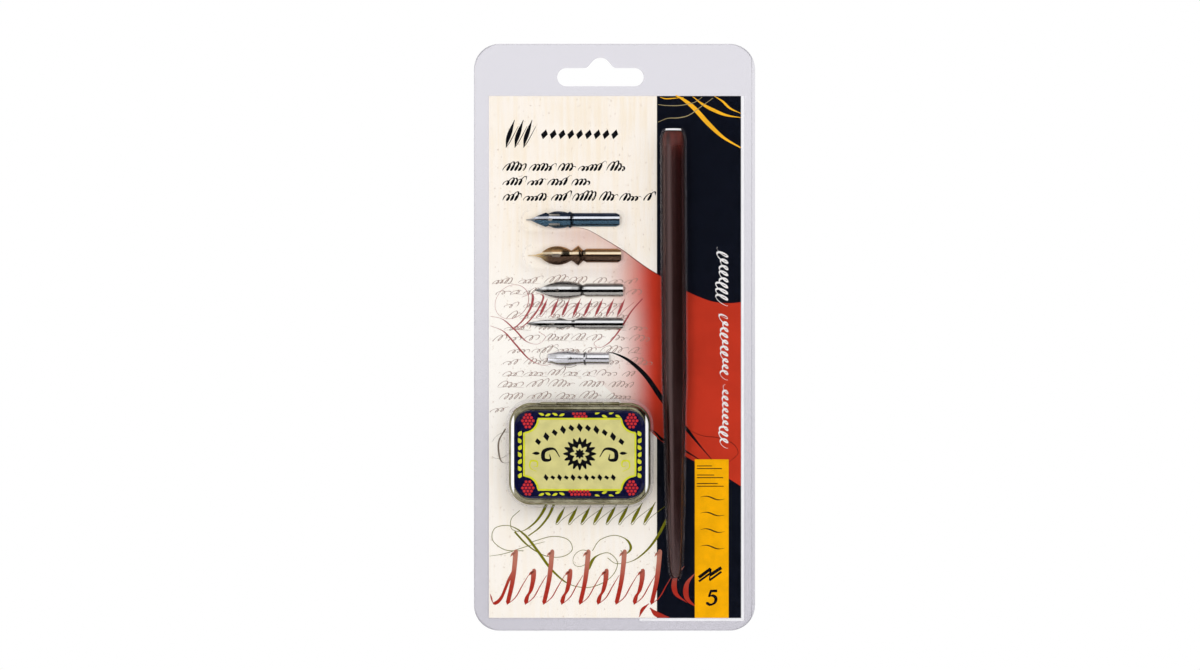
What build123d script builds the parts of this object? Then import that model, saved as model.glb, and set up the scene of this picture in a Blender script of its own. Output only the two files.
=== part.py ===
from build123d import *
from math import radians, sqrt, tan
import os

# A hanging calligraphy set: a clear folded pack, its printed card, a wooden pen holder, five nibs
# and a small hinged tin. Millimetres. X runs to the right and Z up, seen from the front, and the
# front faces -Y. The origin is the centre of the hang slot, on the plane where the shells part.
# "Out" is the height towards the viewer from that plane, so it runs along -Y.

# Pack
pack_width = 105.4
pack_corner = 9.5
sheet = 0.4
flange_gap = 0.1
slot_from_top = 12.45
slot_from_centre = 5.3
overcut = 1.0
draft_angle = 5.0
rim_blend = 0.6
bubble_round = 1.6
pocket_draft = 14.0

# Hang slot
slot_width = 32.4
slot_band = 6.9
hump_width = 10.2
hump_slope = 49.2
hump_round = 3.9
hump_blend = 1.9

# Fold along the right-hand edge, which is the hinge of the pack
fold_radius = 0.45
fold_gap = 0.12
fold_short = 0.5

# Printed card and its recess
card_width = 94.5
card_thick = 0.5
card_left = 5.6
holder_from_top = 13.55
holder_from_bottom = 15.3
card_from_top = 19.5
card_from_bottom = 4.75
card_gap = 0.5
card_seat = 0.05
recess_depth = 0.8
recess_corner = 1.0

# Pen holder
pen_length = 166.9
pen_radius = 4.05
nose_radius = 2.8
nose_length = 4.4
nose_bulge = 1 / 12
straight_share = 0.55
swell_share = 0.67
swell_radius = 3.4
slim_share = 0.857
slim_radius = 2.85
tail_taper = 5.9
tail_radius = 2.1
tip_radius = 1.5
tip_face = 0.8
tip_taper = 1.2
pen_x = 27.2
pen_lean = 0.32
pen_seat = 0.1
channel_gap = 0.5

# Nib socket in the holder's blunt end
tube_radius = 2.5
tube_wall = 0.3
tube_length = 16.0
tube_fit = 0.03
socket_floor = 0.5
prong_count = 4
prong_thick = 0.25
prong_slot = 0.9
prong_base = 1.5
cup_height = 1.2
prong_waist = 1.2
prong_bulge = 1.75
prong_length = 14.5
prong_fit = 0.03

# Hinged tin
tin_length = 50.2
tin_width = 35.4
tin_corner = 7.0
tin_wall = 0.3
tin_rim = 6.0
tin_height = 10.4
tin_x = -7.7
tin_z = -141.1
tin_seat = 0.1
tin_foot_bevel = 0.9
lid_gap = 0.2
lid_edge = 4.0
lid_round = 1.4
lid_curl = 0.25
lid_curl_height = 0.7
curl_corner = 0.29
panel_border = 2.6
panel_drop = 0.25
bead_reach = 1.35
bead_height = 1.1
bead_level = 3.3
tin_gap = 0.9

# Tin hinge
hinge_length = 29.6
knuckle_count = 5
knuckle_radius = 0.75
knuckle_gap = 0.15
knuckle_level = 3.2
hinge_wall_gap = 0.2
pin_radius = 0.4
pin_fit = 0.05

# Nibs
nib_thick = 0.28
nib_seat = 0.1
slit_width = 0.12
pocket_gap = 0.8
unit_length = 1.0

# Each nib lies with its tip to the left, and sizes are multiples of unit_length. shank is half the
# width of the end that goes into a holder. edge is half the nib's outline, and crown its height
# above the axis that it is rolled about, both as spans of (distance from the tip, size). A span of
# two points is a straight line, and one of three points is an arc. vents are slots of (middle,
# offset, length, width), round when the last two are equal, and slits are (offset, length) from
# the tip.
nib_table = [
    {
        "name": "nib_blued",
        "shank": 2.55,
        "tip": (-27.8, -53.5),
        "edge": [
            [(0, 0.12), (2.0, 0.35)],
            [(2.0, 0.35), (4.6, 1.6), (7.4, 2.7)],
            [(7.4, 2.7), (8.3, 2.2)],
            [(8.3, 2.2), (11.8, 3.25), (15.6, 2.55)],
            [(15.6, 2.55), (16.4, 3.15)],
            [(16.4, 3.15), (17.3, 2.55)],
            [(17.3, 2.55), (33.6, 2.55)],
            [(33.6, 2.55), (35.0, 1.9)],
        ],
        "crown": [
            [(0, 1.2), (4.5, 2.7)],
            [(4.5, 2.7), (9.0, 3.6)],
            [(9.0, 3.6), (15.6, 3.1)],
            [(15.6, 3.1), (16.4, 3.4)],
            [(16.4, 3.4), (17.3, 2.7)],
            [(17.3, 2.7), (35.0, 2.7)],
        ],
        "vents": [(9.0, 0, 1.6, 0.9), (10.6, 1.75, 4.2, 0.7), (10.6, -1.75, 4.2, 0.7)],
        "slits": [(0, 9.0)],
    },
    {
        "name": "nib_bronze",
        "shank": 2.6,
        "tip": (-27.1, -66.9),
        "edge": [
            [(0, 0.15), (2.7, 0.3), (4.9, 0.9)],
            [(4.9, 0.9), (11.2, 3.5), (16.2, 1.8)],
            [(16.2, 1.8), (18.8, 3.8)],
            [(18.8, 3.8), (20.7, 1.9)],
            [(20.7, 1.9), (22.0, 2.6)],
            [(22.0, 2.6), (33.6, 2.6)],
            [(33.6, 2.6), (34.9, 1.8)],
        ],
        "crown": [
            [(0, 1.2), (5.0, 3.0)],
            [(5.0, 3.0), (9.5, 3.95)],
            [(9.5, 3.95), (12.5, 3.8)],
            [(12.5, 3.8), (16.2, 2.5)],
            [(16.2, 2.5), (18.8, 4.0)],
            [(18.8, 4.0), (20.7, 2.5)],
            [(20.7, 2.5), (22.0, 2.8)],
            [(22.0, 2.8), (34.9, 2.8)],
        ],
        "vents": [(10.5, 0, 3.4, 1.2)],
        "slits": [(0, 10.5)],
    },
    {
        "name": "nib_steel",
        "shank": 2.55,
        "tip": (-24.5, -79.9),
        "edge": [
            [(0, 0.12), (2.0, 0.7)],
            [(2.0, 0.7), (9.4, 3.25), (16.8, 2.55)],
            [(16.8, 2.55), (17.8, 1.8)],
            [(17.8, 1.8), (19.2, 2.55)],
            [(19.2, 2.55), (32.0, 2.55)],
            [(32.0, 2.55), (33.0, 2.1)],
        ],
        "crown": [
            [(0, 1.2), (4.5, 2.9)],
            [(4.5, 2.9), (9.0, 3.6)],
            [(9.0, 3.6), (13.0, 3.5)],
            [(13.0, 3.5), (16.8, 2.8)],
            [(16.8, 2.8), (17.8, 2.3)],
            [(17.8, 2.3), (19.2, 2.75)],
            [(19.2, 2.75), (33.0, 2.75)],
        ],
        "vents": [(8.4, 0, 1.1, 1.1)],
        "slits": [(0, 8.4)],
    },
    {
        "name": "nib_slim",
        "shank": 2.25,
        "tip": (-27.5, -92.4),
        "edge": [
            [(0, 0.12), (5.4, 1.15), (10.6, 1.3)],
            [(10.6, 1.3), (12.2, 2.15)],
            [(12.2, 2.15), (15.4, 1.2)],
            [(15.4, 1.2), (17.9, 1.45), (19.8, 2.25)],
            [(19.8, 2.25), (34.8, 2.25)],
            [(34.8, 2.25), (36.0, 1.6)],
        ],
        "crown": [
            [(0, 1.1), (6.4, 2.0)],
            [(6.4, 2.0), (12.2, 2.5)],
            [(12.2, 2.5), (16.2, 2.0)],
            [(16.2, 2.0), (19.8, 2.4)],
            [(19.8, 2.4), (36.0, 2.4)],
        ],
        "vents": [(9.4, 0, 1.8, 0.6)],
        "slits": [(0, 9.4)],
    },
    {
        "name": "nib_broad",
        "shank": 2.35,
        "tip": (-19.7, -105.5),
        "edge": [
            [(0, 1.7), (5.8, 2.9), (13.4, 2.1)],
            [(13.4, 2.1), (14.1, 2.6)],
            [(14.1, 2.6), (14.8, 2.35)],
            [(14.8, 2.35), (22.9, 2.35)],
        ],
        "crown": [
            [(0, 2.1), (3.4, 2.95)],
            [(3.4, 2.95), (7.4, 3.1)],
            [(7.4, 3.1), (13.4, 2.3)],
            [(13.4, 2.3), (14.1, 2.75)],
            [(14.1, 2.75), (14.8, 2.5)],
            [(14.8, 2.5), (22.9, 2.5)],
        ],
        "vents": [(8.6, 0, 0.9, 0.9)],
        "slits": [(0, 8.6), (0.95, 6.4), (-0.95, 6.4)],
    },
]


def in_millimetres(entry):
    """A table entry with all its lengths in millimetres."""
    if isinstance(entry, dict):
        return {key: in_millimetres(item) for key, item in entry.items()}
    if isinstance(entry, (list, tuple)):
        return type(entry)(in_millimetres(item) for item in entry)
    return entry if isinstance(entry, str) else entry * unit_length


nibs = in_millimetres(nib_table)

# Sizes and places that follow from those above
card_height = holder_from_top + pen_length + holder_from_bottom
pack_height = card_from_top + card_height + card_from_bottom
pack_x = slot_from_centre
pack_z = slot_from_top - pack_height / 2
fold_x = pack_x + pack_width / 2 - fold_radius
fold_out = flange_gap / 2
fold_length = pack_height - 2 * (pack_corner + fold_short)
card_x = pack_x - pack_width / 2 + card_left + card_width / 2
card_z = slot_from_top - card_from_top - card_height / 2
card_back = card_seat - recess_depth
card_front = card_back + card_thick
pen_out = card_front + pen_seat + pen_radius
pen_nose_z = slot_from_top - card_from_top - holder_from_top
nib_base = card_front + nib_seat
tin_base_out = card_front + tin_seat
lid_inner_height = tin_height - tin_wall
lid_outside = lid_gap + tin_wall
hinge_v = tin_width / 2 + hinge_wall_gap + knuckle_radius
knuckle_pitch = hinge_length / knuckle_count


def level(out):
    """The plane at a height towards the viewer."""
    return Plane.XZ.offset(out)


def upright_face(edges):
    """A face drawn in X and Z, on the plane of the centre lines."""
    return Plane.XZ * make_face(edges)


def slab(sketch, low, high):
    """A flat piece between two heights."""
    return extrude(level(low) * sketch, high - low)


def pack_outline():
    return Pos(pack_x, pack_z) * RectangleRounded(pack_width, pack_height, pack_corner)


def hang_slot():
    """A straight slot with round ends and a pointed hump, rounded off, over its middle."""
    band = SlotOverall(slot_width, slot_band)
    shoulder = slot_band / 2
    peak = shoulder + hump_width / 2 * tan(radians(hump_slope))
    reach = hump_width / 2 + 2 * hump_blend
    roof = FilletPolyline(
        (-reach, shoulder),
        (-hump_width / 2, shoulder),
        (0, peak),
        (hump_width / 2, shoulder),
        (reach, shoulder),
        radius=[hump_blend, hump_round, hump_blend],
    )
    foot = Polyline((reach, shoulder), (reach, 0), (-reach, 0), (-reach, shoulder))
    return band + make_face([roof, foot])


# Pen holder


def arc_middle(start, end):
    """The middle of a shallow outward arc between two points of an outline."""
    across, down = end[0] - start[0], start[1] - end[1]
    x = (start[0] + end[0]) / 2 + down * nose_bulge
    return (x, (start[1] + end[1]) / 2 + across * nose_bulge)


def turned_profile(grow):
    """Half the holder's outline in its own frame, nose at the origin and tail down."""
    low = -pen_length - grow
    tapers = [
        (pen_radius + grow, -nose_length),
        (pen_radius + grow, -pen_length * straight_share),
        (swell_radius + grow, -pen_length * swell_share),
        (slim_radius + grow, -pen_length * slim_share),
        (tail_radius + grow, -pen_length + tail_taper),
        (tip_radius + grow, -pen_length + tip_taper),
        (tip_face + grow / 2, low),
    ]
    nose_edge = (nose_radius + grow, grow)
    outline = [
        Line((0, grow), nose_edge),
        ThreePointArc(nose_edge, arc_middle(nose_edge, tapers[0]), tapers[0]),
        Polyline(*tapers),
        Polyline(tapers[-1], (0, low), (0, grow)),
    ]
    return upright_face(outline)


def pen_place():
    return Pos(pen_x, 0, pen_nose_z) * Rot(0, -pen_lean, 0)


def pen_channel(grow, low):
    """The channel over the holder: a half tunnel on straight walls."""
    half = turned_profile(channel_gap + grow)
    roof = Rot(0, 0, 180) * revolve(half, Axis.Z, 180)
    plan = half + mirror(half, Plane.YZ)
    walls = extrude(plan, -(pen_out - low))
    return pen_place() * Pos(0, -pen_out, 0) * (roof + walls)


def holder_handle():
    solid = revolve(turned_profile(0), Axis.Z, 360)
    bore = Pos(0, 0, -(tube_length + socket_floor) / 2) * Cylinder(
        tube_radius + tube_fit, tube_length + socket_floor
    )
    return pen_place() * Pos(0, -pen_out, 0) * (solid - bore)


def holder_ferrule():
    """The thin tube in the blunt end, with a flared mouth inside."""
    tube = Cylinder(tube_radius, tube_length) - Cylinder(tube_radius - tube_wall, tube_length)
    mouth = tube.edges().filter_by(GeomType.CIRCLE).group_by(Axis.Z)[-1].sort_by(SortBy.RADIUS)[0]
    tube = chamfer(mouth, tube_wall / 2)
    return pen_place() * Pos(0, -pen_out, -tube_length / 2) * tube


def holder_prongs():
    """A cup with bowed prongs that press a nib's shank against the tube."""
    top = -tube_length + prong_length
    cup_radius = tube_radius - tube_wall - prong_fit
    root = cup_height - prong_thick - tube_length
    bow = [(prong_base, root), (prong_bulge, -tube_length / 2), (prong_waist, top)]
    inner = Polyline(*bow)
    outer = Polyline(*[(r + prong_thick, z) for r, z in bow])
    leaf = [
        inner,
        Line(inner @ 1, outer @ 1),
        outer,
        Line(outer @ 0, inner @ 0),
    ]
    prongs = revolve(upright_face(leaf), Axis.Z, 360)
    cup = Pos(0, 0, cup_height / 2 - tube_length) * Cylinder(cup_radius, cup_height)
    for i in range(prong_count // 2):
        turn = Rot(0, 0, 45 + 90 * i)
        prongs -= Pos(0, 0, top - prong_length / 2 + cup_height) * turn * Box(
            4 * tube_radius, prong_slot, prong_length
        )
    return pen_place() * Pos(0, -pen_out, 0) * (cup + prongs)


# Nibs


def spans_to_edges(spans):
    edges = []
    for points in spans:
        edges.append(Line(*points) if len(points) == 2 else ThreePointArc(*points))
    return edges


def closed_on_axis(spans):
    """A face between a row of spans and the nib's centre line."""
    first, last = spans[0][0], spans[-1][-1]
    edges = [Line((first[0], 0), first)] + spans_to_edges(spans)
    edges += [Line(last, (last[0], 0)), Line((last[0], 0), (first[0], 0))]
    return upright_face(edges)


def lowered(spans, amount):
    return [[(s, r - amount) for s, r in points] for points in spans]


def shank_sink(nib):
    """How far the shank's long edges lie in front of the axis that it is rolled about."""
    radius = nib["crown"][-1][-1][1]
    return sqrt(radius**2 - nib["shank"]**2)


def nib_top(nib):
    tallest = max(r for points in nib["crown"] for s, r in points)
    return nib_base + tallest - shank_sink(nib)


def nib_length(nib):
    return nib["edge"][-1][-1][0]


def make_nib(nib):
    """A rolled sheet trimmed to the nib's outline, then slit and pierced."""
    sink = shank_sink(nib)
    length = nib_length(nib)
    outside = revolve(closed_on_axis(nib["crown"]), Axis.X, 360)
    inside = revolve(closed_on_axis(lowered(nib["crown"], nib_thick)), Axis.X, 360)
    half = closed_on_axis(nib["edge"])
    outline = half + mirror(half, Plane.XY)
    tall = 2 * pack_corner
    trimmer = Pos(0, -sink, 0) * extrude(outline, tall)
    rolled = (outside - inside) & trimmer
    for offset, reach in nib["slits"]:
        slit = Box(reach + overcut, tall, slit_width)
        rolled -= Pos((reach - overcut) / 2, -tall / 2, offset) * slit
    for s, offset, long, wide in nib["vents"]:
        hole = SlotOverall(long, wide) if long > wide else Circle(wide / 2)
        rolled -= extrude(Plane.XZ * Pos(s, offset) * hole, tall)
    x, z = nib["tip"]
    return Pos(x, -(nib_base - sink), z) * rolled


def nib_pocket_plan(nib, grow):
    x, z = nib["tip"]
    widest = max(w for points in nib["edge"] for s, w in points)
    width = 2 * (widest + pocket_gap + grow)
    return Pos(x + nib_length(nib) / 2, z) * SlotOverall(
        nib_length(nib) + 2 * (pocket_gap + grow) + width / 3, width
    )


# Tin


def tin_place():
    """The tin's own frame: X along it, Y up the card, Z towards the viewer."""
    return Plane(origin=(tin_x, -tin_base_out, tin_z), x_dir=(1, 0, 0), z_dir=(0, -1, 0)).location


def tin_plan(grow):
    return RectangleRounded(tin_length + 2 * grow, tin_width + 2 * grow, tin_corner + grow)


def block(plan, low, high):
    return Pos(0, 0, low) * extrude(plan, high - low)


def top_edges(body):
    return body.faces().sort_by(Axis.Z)[-1].edges()


def foot_edges(body):
    return body.faces().sort_by(Axis.Z)[0].edges()


def curled(plan, low, high, corner):
    """A rolled edge, eight-sided in section."""
    body = chamfer(top_edges(block(plan, low, high)), corner)
    return chamfer(foot_edges(body), corner)


def hinge_window(low, high):
    """The part of the rear edge that the hinge takes."""
    deep = 2 * (bead_reach + knuckle_radius)
    return Pos(0, tin_width / 2 + deep / 2, (low + high) / 2) * Box(hinge_length, deep, high - low)


def knuckle(index):
    """One rolled loop round the pin."""
    middle = (index - (knuckle_count - 1) / 2) * knuckle_pitch
    loop = Cylinder(knuckle_radius, knuckle_pitch - knuckle_gap)
    return Pos(middle, hinge_v, knuckle_level) * Rot(0, 90, 0) * loop


def knuckle_tab(index, near, far, low, high):
    middle = (index - (knuckle_count - 1) / 2) * knuckle_pitch
    tab = Box(knuckle_pitch - knuckle_gap, far - near, high - low)
    return Pos(middle, (near + far) / 2, (low + high) / 2) * tab


def pin_bore():
    return Pos(0, hinge_v, knuckle_level) * Rot(0, 90, 0) * Cylinder(
        pin_radius + pin_fit, hinge_length
    )


def tin_base():
    """A drawn tray with a rolled bead round it and loops along its rear edge."""
    tray = block(tin_plan(0), 0, tin_rim)
    tray = chamfer(foot_edges(tray), tin_foot_bevel)
    bead = curled(
        tin_plan(bead_reach),
        bead_level - bead_height / 2,
        bead_level + bead_height / 2,
        bead_height * curl_corner,
    )
    body = tray + (bead - hinge_window(0, tin_rim))
    for i in range(0, knuckle_count, 2):
        tab = knuckle_tab(
            i,
            tin_width / 2 - tin_wall / 2,
            hinge_v,
            knuckle_level - knuckle_radius,
            knuckle_level - pin_radius,
        )
        body += knuckle(i) + tab
    cavity = block(tin_plan(-tin_wall), tin_wall, tin_rim + overcut)
    cavity = chamfer(foot_edges(cavity), tin_foot_bevel - tin_wall)
    return tin_place() * (body - pin_bore() - cavity)


def lid_form(grow):
    """The lid's solid form, pressed down inside its border, grown by the sheet's thickness."""
    body = block(tin_plan(lid_gap + grow), lid_edge, lid_inner_height + grow)
    if grow:
        body = fillet(top_edges(body), lid_round)
    else:
        body = chamfer(top_edges(body), lid_round - tin_wall)
    inset = lid_outside - panel_border + (tin_wall - grow)
    panel = block(tin_plan(inset), lid_inner_height + grow - panel_drop, tin_height + overcut)
    return body - panel


def tin_lid():
    """A stamped lid with a curled lower edge and loops along its rear edge."""
    curl = curled(
        tin_plan(lid_outside + lid_curl),
        lid_edge,
        lid_edge + lid_curl_height,
        lid_curl_height * curl_corner,
    )
    body = lid_form(tin_wall) + (curl - hinge_window(0, tin_height))
    near = tin_width / 2 + lid_gap
    for i in range(1, knuckle_count, 2):
        body += knuckle(i)
        body += knuckle_tab(i, near, near + tin_wall, knuckle_level, lid_edge + lid_curl_height)
    cavity = lid_form(0)
    return tin_place() * (body - pin_bore() - cavity)


def tin_hinge_pin():
    wire = Cylinder(pin_radius, hinge_length)
    return tin_place() * Pos(0, hinge_v, knuckle_level) * Rot(0, 90, 0) * wire


def tin_bubble_plan(grow):
    """Room for the tin's bead below and its hinge above, seen from the front."""
    lower = -(tin_width / 2 + bead_reach)
    upper = hinge_v + knuckle_radius
    width = tin_length + 2 * (bead_reach + tin_gap + grow)
    height = upper - lower + 2 * (tin_gap + grow)
    corner = tin_corner + bead_reach + tin_gap + grow
    return Pos(tin_x, tin_z + (upper + lower) / 2) * RectangleRounded(width, height, corner)


# Pack shells


def tin_bubble(grow, low):
    high = tin_base_out + tin_height + tin_gap + grow
    body = extrude(level(low) * tin_bubble_plan(grow), high - low, taper=draft_angle)
    return fillet(body.faces().sort_by(Axis.Y)[0].edges(), bubble_round + grow)


def nib_pocket(nib, grow, low):
    high = nib_top(nib) + pocket_gap + grow
    return extrude(level(low) * nib_pocket_plan(nib, grow), high - low, taper=pocket_draft)


def front_form(grow):
    """Everything behind the front sheet's surface, grown by the sheet's thickness."""
    low = flange_gap - sheet
    plate = Pos(pack_x, pack_z) * Rectangle(2 * pack_width, 2 * pack_height)
    form = slab(plate, low, flange_gap + grow)
    form += tin_bubble(grow, low)
    face = form.faces().filter_by(Axis.Y).sort_by(SortBy.AREA)[-2:].sort_by(Axis.Y)[0]
    rims = [edge for wire in face.inner_wires() for edge in wire.edges()]
    form = chamfer(rims, rim_blend + (sheet - grow) / 2) + pen_channel(grow, low)
    for nib in nibs:
        form += nib_pocket(nib, grow, low)
    return form


def front_shell():
    outline = pack_outline() & Pos(fold_x - fold_radius - fold_gap - pack_width, pack_z) * Rectangle(
        2 * pack_width, pack_height
    )
    deepest = tin_base_out + tin_height + 4 * tin_gap
    skin = front_form(sheet) - front_form(0)
    return skin & slab(outline - hang_slot(), flange_gap, deepest)


def recess_plan(grow):
    return Pos(card_x, card_z) * RectangleRounded(
        card_width + 2 * (card_gap + grow), card_height + 2 * (card_gap + grow), recess_corner + grow
    )


def back_shell():
    """The flat rear sheet with a shallow recess for the card and the fold along one edge."""
    flange = slab(pack_outline() - hang_slot(), -sheet, 0)
    outside = slab(recess_plan(sheet), -recess_depth - sheet, 0)
    outside = chamfer(outside.faces().sort_by(Axis.Y)[-1].edges(), sheet)
    inside = slab(recess_plan(0), -recess_depth, sheet)
    strip = Pos(fold_x + fold_radius, 0, pack_z) * Box(2 * fold_radius, pack_width, fold_length)
    fold = Pos(fold_x, -fold_out, pack_z) * Cylinder(fold_radius, fold_length)
    return flange + outside - inside - strip + fold


def insert_card():
    return slab(Pos(card_x, card_z) * Rectangle(card_width, card_height), card_back, card_front)


pieces = {
    "front_shell": front_shell,
    "back_shell": back_shell,
    "insert_card": insert_card,
    "holder_handle": holder_handle,
    "holder_ferrule": holder_ferrule,
    "holder_prongs": holder_prongs,
    "tin_base": tin_base,
    "tin_lid": tin_lid,
    "tin_hinge_pin": tin_hinge_pin,
}

os.makedirs("parts", exist_ok=True)
for name, make in pieces.items():
    export_step(make(), f"parts/{name}.step")
for nib in nibs:
    export_step(make_nib(nib), f"parts/{nib['name']}.step")

print("pack hinge axis x, y:", round(fold_x, 3), round(-fold_out, 3))
print("tin hinge axis y, z:", round(-(tin_base_out + knuckle_level), 3), round(tin_z + hinge_v, 3))
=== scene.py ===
import bpy
import numpy as np
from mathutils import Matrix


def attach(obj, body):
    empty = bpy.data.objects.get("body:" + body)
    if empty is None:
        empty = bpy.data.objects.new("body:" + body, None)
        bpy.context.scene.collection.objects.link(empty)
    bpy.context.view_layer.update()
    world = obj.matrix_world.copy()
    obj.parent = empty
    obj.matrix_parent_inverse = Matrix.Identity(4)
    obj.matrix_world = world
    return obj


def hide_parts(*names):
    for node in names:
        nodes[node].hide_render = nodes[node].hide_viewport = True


# A calligraphy set in a clear hanging pack. Card places are millimetres from the card's top left
# corner, x to the right and y down. Lid places are millimetres from the middle of the lid, y up.

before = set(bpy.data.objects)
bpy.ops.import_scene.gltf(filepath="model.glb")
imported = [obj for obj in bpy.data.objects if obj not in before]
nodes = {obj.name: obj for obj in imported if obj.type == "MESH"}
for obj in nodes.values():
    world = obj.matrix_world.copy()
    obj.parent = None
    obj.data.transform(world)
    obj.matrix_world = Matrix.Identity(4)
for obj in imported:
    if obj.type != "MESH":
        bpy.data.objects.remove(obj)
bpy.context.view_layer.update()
mm = 0.001


def extent(node):
    # low and high corners of a solid's box, in millimetres
    places = np.empty(3 * len(nodes[node].data.vertices))
    nodes[node].data.vertices.foreach_get("co", places)
    places = places.reshape(-1, 3) / mm
    return places.min(0), places.max(0)


print("frame loaded")


# A shader socket that takes part in sums: an operator adds a Math node.
class Wire:
    def __init__(self, tree, socket=None):
        self.tree = tree
        self.socket = socket

    def node(self, kind, settings=None, inputs=None, out=0):
        made = self.tree.nodes.new(kind)
        for key, value in (settings or {}).items():
            setattr(made, key, value)
        for key, value in (inputs or {}).items():
            if isinstance(value, Wire):
                self.tree.links.new(value.socket, made.inputs[key])
            else:
                made.inputs[key].default_value = value
        return Wire(self.tree, made.outputs[out])

    def math(self, operation, other=None, swap=False):
        first, second = (other, self) if swap else (self, other)
        inputs = {0: first}
        if second is not None:
            inputs[1] = second
        return self.node("ShaderNodeMath", {"operation": operation}, inputs)

    def __add__(self, other):
        return self.math("ADD", other)

    def __sub__(self, other):
        return self.math("SUBTRACT", other)

    def __mul__(self, other):
        return self.math("MULTIPLY", other)

    def __truediv__(self, other):
        return self.math("DIVIDE", other)

    def __rsub__(self, other):
        return self.math("SUBTRACT", other, swap=True)

    def __rtruediv__(self, other):
        return self.math("DIVIDE", other, swap=True)

    def __abs__(self):
        return self.math("ABSOLUTE")

    __radd__ = __add__
    __rmul__ = __mul__

    def most(self, other):
        return self.math("MAXIMUM", other)

    def blend(self, low, high):
        # two colours or wires mixed by this wire, 0 to 1
        return self.node(
            "ShaderNodeMix",
            {"data_type": "RGBA", "clamp_factor": True},
            {0: self, 6: colour(low), 7: colour(high)},
            2,
        )

    def ease(self, start, end):
        # a smooth step from 0 at start to 1 at end
        settings = {"interpolation_type": "SMOOTHSTEP"}
        return self.node("ShaderNodeMapRange", settings, {0: self, 1: start, 2: end})


def colour(value):
    return value if isinstance(value, Wire) else (*value, 1)


def newMaterial(name, fixed):
    # a material, its shader node and a wire to start from
    material = bpy.data.materials.new(name)
    material.use_nodes = True
    shader = material.node_tree.nodes["Principled BSDF"]
    for key, value in fixed.items():
        shader.inputs[key].default_value = value
    return material, shader, Wire(material.node_tree)


def feed(shader, key, wire):
    wire.tree.links.new(wire.socket, shader.inputs[key])


def place(start):
    # object coordinates in metres, as a vector
    return start.node("ShaderNodeTexCoord", out="Object")


def along(vector, axis):
    return vector.node("ShaderNodeSeparateXYZ", None, {0: vector}, axis)


def stretched(vector, scale):
    return vector.node("ShaderNodeMapping", None, {"Vector": vector, "Scale": scale})


def noise(vector, scale, detail, rough):
    inputs = {"Vector": vector, "Scale": scale, "Detail": detail, "Roughness": rough}
    return vector.node("ShaderNodeTexNoise", None, inputs)


def bumped(shader, height, strength, distance):
    inputs = {"Height": height, "Strength": strength, "Distance": distance}
    feed(shader, "Normal", height.node("ShaderNodeBump", None, inputs))


# Paper and printing inks

paper = {
    "top": extent("insert_card")[1][2],
    "light": (0.985, 0.915, 0.815),
    "warm": (0.955, 0.85, 0.69),
    # painted light: the paler paper colour that offsets the shade of the nibs and the tin
    "pale": (1.0, 0.97, 0.9),
    "paintedLightRows": ((46, 88), (142, 114)),
    "paintedLightLeast": 0.4,
    "paintedLightMore": 0.45,
    "fleck": (0.6, 0.47, 0.36),
    "roughness": 0.6,
    "streakScale": 650,
    "cloudScale": 60,
    "fibreScale": 1500,
    "fleckScale": 900,
}


def paperGround(spot, settings):
    # laid paper: upright streaks, clouds and sparse flecks, and painted light that makes it palest behind
    # the nibs, offsetting their shade
    streak = noise(stretched(spot, (1, 1, 0.05)), settings["streakScale"], 4, 0.6)
    cloud = noise(spot, settings["cloudScale"], 4, 0.6)
    ground = (streak * 0.6 + cloud * 0.4).ease(0.4, 0.66).blend(settings["light"], settings["warm"])
    down = settings["top"] - along(spot, 2) / mm
    # painted light: paler paper from the nibs down to the foot, offsetting the shade that the nibs and the
    # tin cast
    above, below = settings["paintedLightRows"]
    pale = down.ease(*above) * (down.ease(*below) * settings["paintedLightMore"] + settings["paintedLightLeast"])
    ground = pale.blend(ground, settings["pale"])
    fleck = noise(spot, settings["fleckScale"], 2, 0.5).ease(0.64, 0.76)
    return (fleck * 0.6).blend(ground, settings["fleck"])


def paperMaterial(settings):
    fixed = {"Roughness": settings["roughness"], "Specular IOR Level": 0.2}
    material, shader, start = newMaterial("paperCream", fixed)
    spot = place(start)
    feed(shader, "Base Color", paperGround(spot, settings))
    bumped(shader, noise(spot, settings["fibreScale"], 3, 0.6), 0.12, 0.0001)
    return material


inks = {
    "navy": (0.003, 0.0044, 0.0105),
    "red": (0.56, 0.037, 0.0145),
    "darkRed": (0.16, 0.012, 0.01),
    "yellow": (1.0, 0.462, 0.0),
    "gold": (1.0, 0.5, 0.022),
    "paleGold": (0.42, 0.34, 0.17),
    "brown": (0.34, 0.21, 0.17),
    "maroon": (0.4, 0.075, 0.08),
    "olive": (0.19, 0.185, 0.008),
    "hair": (0.22, 0.17, 0.13),
    "black": (0.004, 0.004, 0.006),
    "white": (0.9, 0.88, 0.86),
    "sun": (0.68, 0.69, 0.035),
    "berry": (0.6, 0.03, 0.035),
    "pale": (0.69, 0.64, 0.255),
}
inkFilm = {
    "fixed": {"Specular IOR Level": 0.06},
    "roughness": 0.35,
    "gloss": 0.15,
    "vary": 0.14,
    "scale": 180,
}


def shaded(hue, share):
    return tuple(channel * (1 - share) for channel in hue)


def inkGloss(shader, uneven):
    feed(shader, "Roughness", uneven * inkFilm["gloss"] + inkFilm["roughness"])


def inkMaterial(name, hue):
    # flat printing ink with a slight unevenness of colour and gloss
    material, shader, start = newMaterial(name, inkFilm["fixed"])
    uneven = noise(place(start), inkFilm["scale"], 3, 0.6)
    feed(shader, "Base Color", uneven.ease(0.3, 0.7).blend(shaded(hue, inkFilm["vary"]), hue))
    inkGloss(shader, uneven)
    return material


inkOf = {name: inkMaterial("ink_" + name, hue) for name, hue in inks.items()}


def fadedInk(name, top, foot, high, low):
    # one ink that deepens down the card between two heights
    material, shader, start = newMaterial(name, inkFilm["fixed"])
    spot = place(start)
    uneven = noise(spot, 260, 4, 0.65)
    depth = (along(spot, 2) / mm).ease(high, low) + (uneven - 0.5) * 0.35
    feed(shader, "Base Color", depth.blend(top, foot))
    inkGloss(shader, uneven)
    return material


# Metals, wood and clear plastic

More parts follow.
